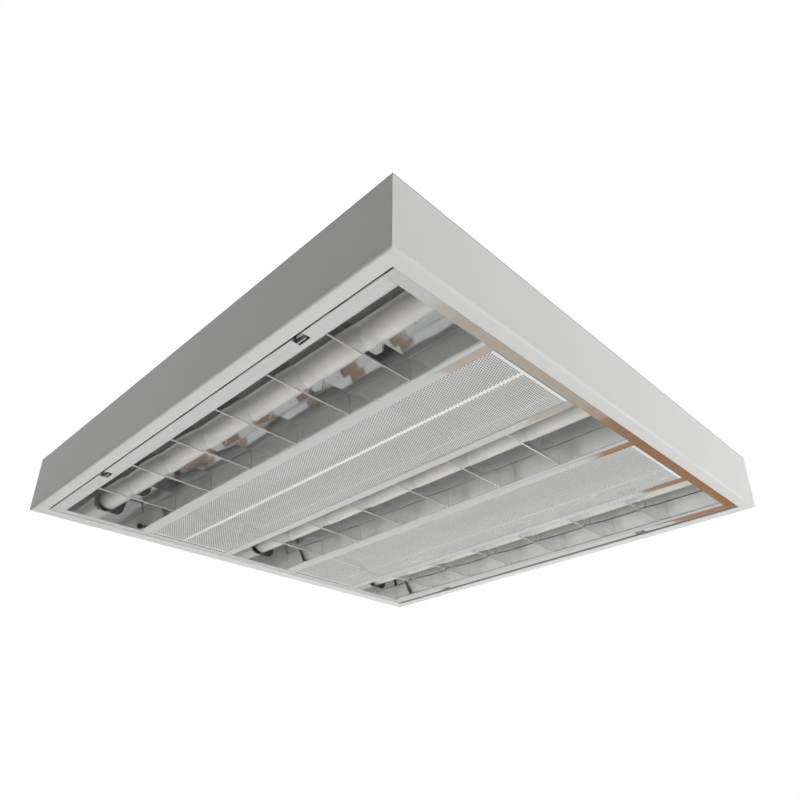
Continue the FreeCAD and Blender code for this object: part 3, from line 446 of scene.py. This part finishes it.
def trough(bay_name):
    """Bright trough that carries on a bay's walls above its lamp, with a flat tab at each end."""
    node = f"roof_reflector_{bay_name}"
    low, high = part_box(node)
    outline = trough_skin(high.z - SHEET, sheet=0.0) + trough_skin(high.z, sheet=SHEET)[::-1]
    whole = list(range(len(outline)))
    tab = [i for i in whole if abs(outline[i][0]) < TROUGH_TAB_HALF + MERGE]
    wall_end = LOUVRE_END - TROUGH_END_GAP
    spans = [(low.x, -wall_end, tab), (-wall_end, wall_end, whole), (wall_end, high.x, tab)]
    placed = [(BAYS[bay_name] + y, z) for y, z in outline]
    points, faces = sweep_along_x(placed, spans)
    mesh_piece(f"{node}_sheet", points, faces, "bright_aluminium", node, "housing")


for bay_name in BAYS:
    trough(bay_name)


# ---------------------------------------------------------------- cross blades

BLADE_COUNT = 6
BLADE_SHEET = 0.5 * MM
BLADE_TOP_HALF = 1.2 * MM
BEAD_RADIUS = 0.8 * MM
NECK_HALF = 0.55 * MM
LAMP_NOTCH_HALF = 13.2 * MM
LAMP_NOTCH_CHAMFER = 8 * MM
LAMP_NOTCH_FLOOR = LOUVRE + 8 * MM
BEAD_STEPS = 6
UNDERSIDE_STEPS = 8
SKIN_STEPS = 4
# A line across a blade has four points, so three stretches; the notch is the middle one.
STRETCHES = (0, 1, 2)
BESIDE_NOTCH = (0, 2)
NOTCH = (1,)


def blade_half(z, low):
    """Half the thickness of a blade at a level: a rounded bead below, then a slim wedge."""
    above_middle = z - low - BEAD_RADIUS
    if above_middle < BEAD_RADIUS:
        return max(math.sqrt(BEAD_RADIUS ** 2 - above_middle ** 2), NECK_HALF)
    neck = low + 2 * BEAD_RADIUS
    return NECK_HALF + (z - neck) / (LOUVRE_TOP - neck) * (BLADE_TOP_HALF - NECK_HALF)


def notch_half(z):
    """Half the width of the lamp's notch at a level, or of its floor at a lower one."""
    past_floor = min(max(z - LAMP_NOTCH_FLOOR, 0.0), LAMP_NOTCH_CHAMFER)
    return LAMP_NOTCH_HALF - LAMP_NOTCH_CHAMFER + past_floor


def blade_rows(low):
    """Levels of a blade from the middle of its bead up, and the row that is the notch's floor."""
    middle, neck = low + BEAD_RADIUS, low + 2 * BEAD_RADIUS
    slope_end = LAMP_NOTCH_FLOOR + LAMP_NOTCH_CHAMFER
    rows = levels(middle, neck, BEAD_STEPS) + levels(neck, LAMP_NOTCH_FLOOR, SKIN_STEPS)[1:]
    floor_row = len(rows) - 1
    rows += levels(LAMP_NOTCH_FLOOR, slope_end, SKIN_STEPS)[1:]
    rows += levels(slope_end, LOUVRE_TOP, SKIN_STEPS)[1:]
    return rows, floor_row


def blade(x, bay, low):
    """Points and faces of one folded blade: two skins joined along a beaded lower edge."""
    points, faces = [], []
    rows, floor_row = blade_rows(low)
    halves = [blade_half(z, low) for z in rows]

    def line(offset, z):
        """Add four points across the bay at a level and return their numbers."""
        wall, notch = bay_half(z) - FIT, notch_half(z)
        points.extend((x + offset, bay + y, z) for y in (-wall, -notch, notch, wall))
        return list(range(len(points) - 4, len(points)))

    def join(first, second, stretches=STRETCHES):
        """Add the faces between two lines along the given stretches."""
        for c in stretches:
            faces.append((first[c], first[c + 1], second[c + 1], second[c]))

    outside, inside = {}, {}
    for way in (-1, 1):
        outer = [line(way * half, z) for half, z in zip(halves, rows)]
        inner = [line(way * (half - BLADE_SHEET), z) for half, z in zip(halves, rows)]
        for k in range(len(rows) - 1):
            stretches, sides = (STRETCHES, (0, 3)) if k < floor_row else (BESIDE_NOTCH, (0, 1, 2, 3))
            join(outer[k], outer[k + 1], stretches)
            join(inner[k], inner[k + 1], stretches)
            for c in sides:
                faces.append((outer[k][c], outer[k + 1][c], inner[k + 1][c], inner[k][c]))
        join(outer[-1], inner[-1], BESIDE_NOTCH)
        join(outer[floor_row], inner[floor_row], NOTCH)
        outside[way], inside[way] = outer[0], inner[0]
    underside = [line(BEAD_RADIUS * math.cos(a), low + BEAD_RADIUS - BEAD_RADIUS * math.sin(a))
                 for a in levels(0, math.pi, UNDERSIDE_STEPS)[1:-1]]
    bead = [outside[1]] + underside + [outside[-1]]
    for first, second in zip(bead, bead[1:]):
        join(first, second)
    join(inside[1], inside[-1])
    for c in (0, 3):
        faces.append(tuple(row[c] for row in bead) + (inside[-1][c], inside[1][c]))
    return points, faces


def blades(bay_name):
    """The row of blades across one bay."""
    node = f"blades_{bay_name}"
    low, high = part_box(node)
    places = levels(low.x + BLADE_TOP_HALF, high.x - BLADE_TOP_HALF, BLADE_COUNT - 1)
    points, faces = joined(blade(x, BAYS[bay_name], low.z) for x in places)
    made = mesh_piece(f"{node}_sheets", points, faces, "bright_aluminium", node, "louvre")
    made.data.materials[0] = BLADE_FINISH


for bay_name in BAYS:
    blades(bay_name)


# ---------------------------------------------------------------- perforated panels

HOLE_PITCH = 2.64 * MM
HOLE_RADIUS = 0.95 * MM
CELL_SIDES = 6
CELL_RADIUS = HOLE_PITCH / math.sqrt(3)
CELL_FLAT_HALF = CELL_RADIUS / 2
COLUMN_PITCH = 1.5 * CELL_RADIUS
FIELD_END_GAP = 2.5 * MM
FIELD_SIDE_GAP = 5 * MM
PANEL_LIFT = 0.05 * MM
BAND_MIDDLE = -125 * MM
BAND_HALF = 0.3 * MM


def ring(x, y, radius, count):
    """Evenly spaced points round a place, the first of them towards +X."""
    turns = [2 * math.pi * i / count for i in range(count)]
    return [(x + radius * math.cos(a), y + radius * math.sin(a)) for a in turns]


def hole_cell(x, y):
    """Points of one six-sided cell and its twelve-sided hole, and the faces between them."""
    corners = ring(x, y, CELL_RADIUS, CELL_SIDES)
    hole = ring(x, y, HOLE_RADIUS, 2 * CELL_SIDES)
    faces = []
    for i in range(CELL_SIDES):
        j = (i + 1) % CELL_SIDES
        near, far = CELL_SIDES + 2 * i, CELL_SIDES + 2 * j
        faces.append((i, j, far, near + 1, near))
    return corners + hole, faces


def hem(edge, away):
    """Points and plain faces between a ragged line of points and its image on a straight edge."""
    count = len(edge)
    faces = [(i, i + 1, count + i + 1, count + i) for i in range(count - 1)]
    return edge + [away(point) for point in edge], faces


def perforated_field(low, high, rows, columns, middle):
    """One field of staggered holes inside a rectangle, with a plain margin out to its edges."""
    parts, bottoms, tops = [], [], []

    def first_hole(column):
        """The lowest hole of a column; every second column is half a pitch higher."""
        return ((column - (columns - 1) / 2) * COLUMN_PITCH,
                middle - (rows - 0.5) / 2 * HOLE_PITCH + column % 2 * HOLE_PITCH / 2)

    for column in range(columns):
        x, y = first_hole(column)
        parts += [hole_cell(x, y + row * HOLE_PITCH) for row in range(rows)]
        bottom, top = y - HOLE_PITCH / 2, y + (rows - 0.5) * HOLE_PITCH
        bottoms += [(x - CELL_FLAT_HALF, bottom), (x + CELL_FLAT_HALF, bottom)]
        tops += [(x - CELL_FLAT_HALF, top), (x + CELL_FLAT_HALF, top)]
    parts.append(hem(bottoms, lambda point: (point[0], low[1])))
    parts.append(hem(tops, lambda point: (point[0], high[1])))
    for way, column, limit in ((-1, 0, low[0]), (1, columns - 1, high[0])):
        x, y = first_hole(column)
        side = []
        for level in [y + row * HOLE_PITCH for row in range(rows)]:
            side.append((x + way * CELL_FLAT_HALF, level - HOLE_PITCH / 2))
            side.append((x + way * CELL_RADIUS, level))
        side.append((x + way * CELL_FLAT_HALF, y + (rows - 0.5) * HOLE_PITCH))
        parts.append(hem(side, lambda point: (limit, point[1])))
        for (inner_x, inner_y), edge in ((side[0], low[1]), (side[-1], high[1])):
            corner = [(inner_x, inner_y), (limit, inner_y), (limit, edge), (inner_x, edge)]
            parts.append((corner, [(0, 1, 2, 3)]))
    return joined(parts)


def perforated_panel(name, bands):
    """Thin sheet with fields of fine holes, parted by plain bands at the given places along Y."""
    node = f"perforated_panel_{name}"
    low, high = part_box(node)
    width = high.x - low.x
    columns = int((width - 2 * FIELD_END_GAP) / COLUMN_PITCH)
    borders = [(low.y, FIELD_SIDE_GAP), *[(y, BAND_HALF) for y in bands], (high.y, FIELD_SIDE_GAP)]
    fields = []
    for (start, start_gap), (end, end_gap) in zip(borders, borders[1:]):
        rows = int((end - start - start_gap - end_gap) / HOLE_PITCH - 0.5)
        middle = (start + start_gap + end - end_gap) / 2
        fields.append(perforated_field((low.x, start), (high.x, end), rows, columns, middle))
    flat_points, faces = joined(fields)
    points = [(x, y, low.z + PANEL_LIFT) for x, y in flat_points]
    made = mesh_piece(f"{node}_sheet", points, faces, "perforated_sheet", node, "louvre")
    if made.data.polygons[0].normal.z > 0:
        made.data.flip_normals()
    # A flat map named OFBake, laid out across the panel's width. A flat map under the name
    # that the export bakes through, so that it needn't make one.
    flat_map = made.data.uv_layers.new(name="OFBake")
    for loop in made.data.loops:
        x, y, _ = made.data.vertices[loop.vertex_index].co
        flat_map.data[loop.index].uv = ((x - low.x) / width, (y - low.y) / width)


perforated_panel("front", bands=[BAND_MIDDLE])
perforated_panel("rear", bands=[])


# ---------------------------------------------------------------- floor and cards

FLOOR_LEVEL = -1.3
FLOOR_SIZE = 14
WALL_HEIGHT = 2.6
FLOOR_DARK = (0.76, 0.76, 0.75)
FLOOR_LIGHT = (0.79, 0.79, 0.78)
PALE = (0.62, 0.62, 0.60)
WOOD = (0.32, 0.150, 0.048)
BEIGE = (0.47, 0.40, 0.33)
SOFT_WHITE = (0.52, 0.52, 0.50)
CREAM = (0.50, 0.50, 0.48)
STONE = (0.44, 0.44, 0.45)
BLUE_GREY = (0.33, 0.37, 0.41)
SHADE = (0.15, 0.145, 0.14)
DARK = (0.012, 0.012, 0.014)
WHITE = (1, 1, 1)


def floor():
    """Pale floor that keeps the shadow; mirrors see it as a plain pale glow."""
    bpy.ops.mesh.primitive_plane_add(size=FLOOR_SIZE, location=(0, 0, FLOOR_LEVEL))
    made = bpy.context.object
    made.name = "floor"
    finish, tree, surface = new_material("floor")
    matte = add(tree, "ShaderNodeBsdfPrincipled", roughness=0.9)
    shade(tree, matte.inputs["Base Color"], noise(tree, scale=3.0), FLOOR_DARK, FLOOR_LIGHT,
          margin=0.4)
    path = add(tree, "ShaderNodeLightPath")
    pale = glow(tree, PALE, dark_share=0.93, scale=0.9)
    seen = mixed(tree, path.outputs["Is Glossy Ray"], matte.outputs["BSDF"], pale)
    tree.links.new(seen, surface)
    made.data.materials.append(finish)


def card(name, corner, along, up, colour, dark_share=0.94, strength=1.0):
    """A flat studio card that only bright surfaces see, from a corner and two edges."""
    corner, along, up = Vector(corner), Vector(along), Vector(up)
    data = bpy.data.meshes.new(name)
    corners = [corner, corner + along, corner + along + up, corner + up]
    data.from_pydata(corners, [], [(0, 1, 2, 3)])
    finish, tree, surface = new_material(name)
    tree.links.new(glow(tree, colour, dark_share, scale=1.2, strength=strength), surface)
    data.materials.append(finish)
    made = bpy.data.objects.new(name, data)
    bpy.context.scene.collection.objects.link(made)
    made.visible_camera = False
    made.visible_diffuse = False
    made.visible_shadow = False
    made.visible_transmission = False


def wall_card(name, start, along, colour, height=WALL_HEIGHT, dark_share=0.94):
    """A card that stands on the floor, from a start (x, y) along an edge (x, y)."""
    card(name, corner=(*start, FLOOR_LEVEL), along=(*along, 0), up=(0, 0, height),
         colour=colour, dark_share=dark_share)


def facing(name, azimuth, elevation, distance, width, height, colour, strength=1.0):
    """A card square to the light's middle, in a direction given in degrees."""
    turn, lift = math.radians(azimuth), math.radians(elevation)
    away = Vector((math.cos(turn) * math.cos(lift), math.sin(turn) * math.cos(lift),
                   math.sin(lift)))
    along = Vector((-math.sin(turn), math.cos(turn), 0)) * width
    up = away.cross(along.normalized()) * height
    card(name, corner=away * distance - along / 2 - up / 2, along=along, up=up,
         colour=colour, dark_share=0.85, strength=strength)


# The cards stand for the room that the photograph's mirrors show: wood, pale walls, dark things.
floor()
card("card_wood_floor", corner=(-0.86, 1.9, FLOOR_LEVEL + 0.02), along=(1.2, 0, 0),
     up=(-0.35, 3.4, 0), colour=WOOD, dark_share=0.85)
card("card_beige_floor", corner=(-0.95, 0.9, FLOOR_LEVEL + 0.01), along=(1.6, 0, 0),
     up=(0, 2.0, 0), colour=BEIGE)
wall_card("card_back_left", start=(-5, 4.5), along=(5, 1), colour=CREAM)
wall_card("card_back_wood", start=(0.2, 5.2), along=(2.2, -0.6), colour=WOOD, height=1.5,
          dark_share=0.8)
wall_card("card_left", start=(-5, -3), along=(0, 7), colour=SOFT_WHITE)
wall_card("card_front", start=(3.9, -3.6), along=(-8, 0), colour=STONE)
wall_card("card_right", start=(5.0, 4.6), along=(0, -8), colour=BLUE_GREY)
facing("card_wood_low", azimuth=24, elevation=-22, distance=2.6, width=0.55, height=0.5,
       colour=WOOD)
facing("card_wood_near", azimuth=23, elevation=-41, distance=1.7, width=0.42, height=0.55,
       colour=WOOD)
facing("card_shade_near", azimuth=43, elevation=-51, distance=1.35, width=0.30, height=0.34,
       colour=SHADE)
facing("card_dark_low", azimuth=33, elevation=-24, distance=2.4, width=0.25, height=0.5,
       colour=DARK)
facing("card_window_back", azimuth=47, elevation=-17, distance=2.6, width=0.16, height=0.28,
       colour=WHITE, strength=4.0)


# ---------------------------------------------------------------- background and lamps

FILL = 0.22


def background(tree, strength):
    """A white background shader."""
    made = add(tree, "ShaderNodeBackground", color=(1, 1, 1, 1), strength=strength)
    return made.outputs["Background"]


def larger(tree, first, second):
    """The larger of two values."""
    made = add(tree, "ShaderNodeMath")
    made.operation = "MAXIMUM"
    tree.links.new(first, made.inputs[0])
    tree.links.new(second, made.inputs[1])
    return made.outputs["Value"]


def world():
    """White to the camera and to mirrors and glass; a softer fill for everything else."""
    made = bpy.data.worlds.new("studio")
    bpy.context.scene.world = made
    made.use_nodes = True
    tree = made.node_tree
    tree.nodes.clear()
    out = add(tree, "ShaderNodeOutputWorld")
    path = add(tree, "ShaderNodeLightPath")
    shiny = larger(tree, path.outputs["Is Glossy Ray"], path.outputs["Is Transmission Ray"])
    seen = larger(tree, path.outputs["Is Camera Ray"], shiny)
    mix = mixed(tree, seen, background(tree, FILL), background(tree, 1.0))
    tree.links.new(mix, out.inputs["Surface"])


def area_lamp(name, place, target, side, power):
    """A square lamp of a power in watts that faces its target; mirrors don't show it."""
    data = bpy.data.lights.new(name, "AREA")
    data.size = side
    data.energy = power
    made = bpy.data.objects.new(name, data)
    made.location = place
    made.rotation_mode = "QUATERNION"
    made.rotation_quaternion = (Vector(target) - Vector(place)).to_track_quat("-Z", "Y")
    made.visible_glossy = False
    bpy.context.scene.collection.objects.link(made)


world()
area_lamp("key", place=(2.2, 1.2, -0.5), target=(0, 0, -0.05), side=1.2, power=33)
area_lamp("under", place=(-0.1, 0.25, -1.25), target=(0, 0, -0.05), side=1.0, power=12)
area_lamp("top", place=(0.4, 0.3, 2.6), target=(0, 0, 0), side=2.0, power=60)


# ---------------------------------------------------------------- camera

# Solved from the corners of the box and of its rim in the photograph: below the near corner,
# looking up and across the light.
CAMERA_PLACE = (0.5627, -0.5521, -0.4071)
CAMERA_RIGHT = (0.72445, 0.68916, -0.01541)
CAMERA_AHEAD = (-0.60749, 0.64884, 0.45821)
CAMERA_LENS = 31.85
CAMERA_SENSOR = 36
CAMERA_SHIFT_X = -0.0309
CAMERA_SHIFT_Y = 0.0741


def camera():
    """The photograph's own camera."""
    data = bpy.data.cameras.new("camera")
    data.sensor_width = CAMERA_SENSOR
    data.lens = CAMERA_LENS
    data.shift_x = CAMERA_SHIFT_X
    data.shift_y = CAMERA_SHIFT_Y
    right = Vector(CAMERA_RIGHT).normalized()
    ahead = Vector(CAMERA_AHEAD).normalized()
    up = right.cross(ahead).normalized()
    made = bpy.data.objects.new("camera", data)
    turn = Matrix((right, up, -ahead)).transposed()
    made.matrix_world = Matrix.Translation(CAMERA_PLACE) @ turn.to_4x4()
    bpy.context.scene.collection.objects.link(made)
    bpy.context.scene.camera = made


camera()
bpy.context.scene.view_settings.view_transform = "Standard"
